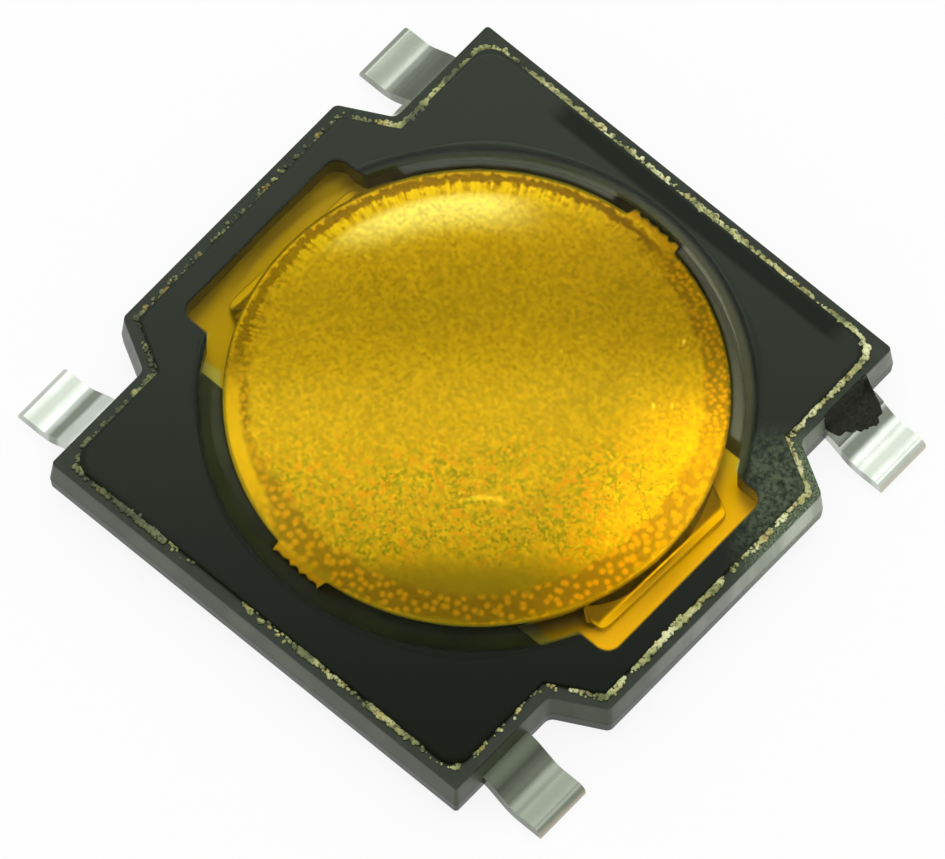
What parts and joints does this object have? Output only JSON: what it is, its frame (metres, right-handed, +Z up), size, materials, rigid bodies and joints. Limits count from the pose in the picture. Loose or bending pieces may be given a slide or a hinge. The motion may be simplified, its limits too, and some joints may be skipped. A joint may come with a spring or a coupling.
{
  "type": "tactile push switch",
  "caption": "Low square push switch for surface mounting: a metal snap dome in a notched black housing, sealed under an amber film, with gull-wing terminals.",
  "frame": {"origin": "on the board, under the middle of the switch", "axes": "+X the way the terminals point, which is the longest side; +Y across the plain sides; +Z up, away from the board"},
  "size_m": [0.0052, 0.0048, 0.0006],
  "materials": {
    "housing": "black moulded, slightly glossy",
    "terminals": "silver-plated, satin",
    "dome": "silver-plated spring steel, satin",
    "film": "see-through amber film",
    "adhesive": "pale yellow, speckled"
  },
  "bodies": {
    "base": {"housing": "housing", "outer_contact": "terminals", "centre_contact": "terminals", "film_adhesive": "adhesive"},
    "push_area": {"contact_dome": "dome", "cover_film": "film"}
  },
  "joints": [
    {"name": "dome_press", "type": "slide", "parent": "base", "child": "push_area", "axis": [0, 0, -1], "range_m": [0, 0.00015], "stiffness_N_per_m": 10600, "deforming": ["contact_dome", "cover_film"]}
  ]
}
